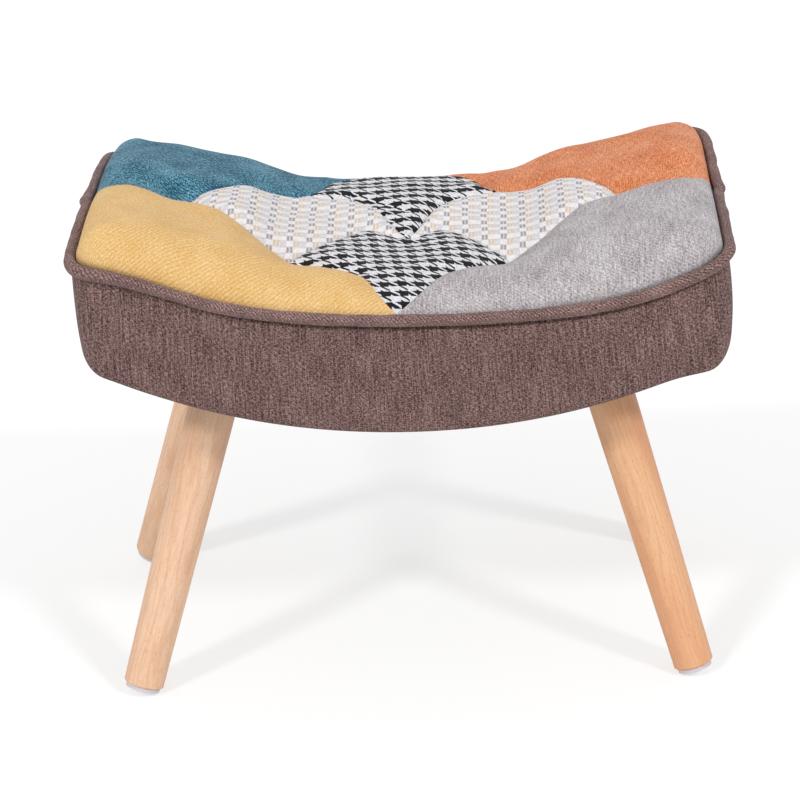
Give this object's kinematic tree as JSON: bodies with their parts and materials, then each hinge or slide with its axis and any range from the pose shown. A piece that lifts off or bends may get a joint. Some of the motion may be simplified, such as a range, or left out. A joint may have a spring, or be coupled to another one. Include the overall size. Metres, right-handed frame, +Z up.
{
  "type": "footstool",
  "caption": "Upholstered footstool with a saddle-curved tufted patchwork seat, brown piping and splayed round wooden legs.",
  "frame": {"origin": "on the floor under the middle of the seat", "axes": "+X along the width of the seat, to the right as the picture shows it; +Y from the front to the back; +Z up"},
  "size_m": [0.6, 0.37, 0.4555],
  "materials": {
    "leg_wood": "satin",
    "plywood": "raw",
    "pine": "raw",
    "felt": "matte",
    "zinc": "satin",
    "foam": "matte",
    "white_fibre": "matte",
    "twine": "matte",
    "washer_plastic": "matte",
    "teal_fabric": "matte",
    "orange_fabric": "matte",
    "mustard_fabric": "matte",
    "grey_fabric": "matte",
    "cream_fabric": "matte",
    "houndstooth_fabric": "matte",
    "brown_fabric": "matte",
    "piping_fabric": "matte",
    "black_cloth": "matte"
  },
  "bodies": {
    "root": {"leg_front_left": "leg_wood", "leg_front_right": "leg_wood", "leg_rear_left": "leg_wood", "leg_rear_right": "leg_wood", "foot_pads": "felt", "hanger_bolts": "zinc", "tee_nuts": "zinc", "leg_block_front_left": "pine", "leg_block_front_right": "pine", "leg_block_rear_left": "pine", "leg_block_rear_right": "pine", "front_rail": "plywood", "rear_rail": "plywood", "left_rail": "plywood", "right_rail": "plywood", "frame_screws": "zinc", "deck": "plywood", "seat_foam": "foam", "fibre_pad": "white_fibre", "side_wadding": "white_fibre", "tuft_twines": "twine", "tuft_washers": "washer_plastic", "patch_teal": "teal_fabric", "patch_orange": "orange_fabric", "patch_mustard": "mustard_fabric", "patch_grey": "grey_fabric", "patch_cream_left": "cream_fabric", "patch_cream_right": "cream_fabric", "patch_houndstooth_front": "houndstooth_fabric", "patch_houndstooth_rear": "houndstooth_fabric", "side_band": "brown_fabric", "piping": "piping_fabric", "dust_cover": "black_cloth", "dust_cover_staples": "zinc"}
  },
  "joints": []
}
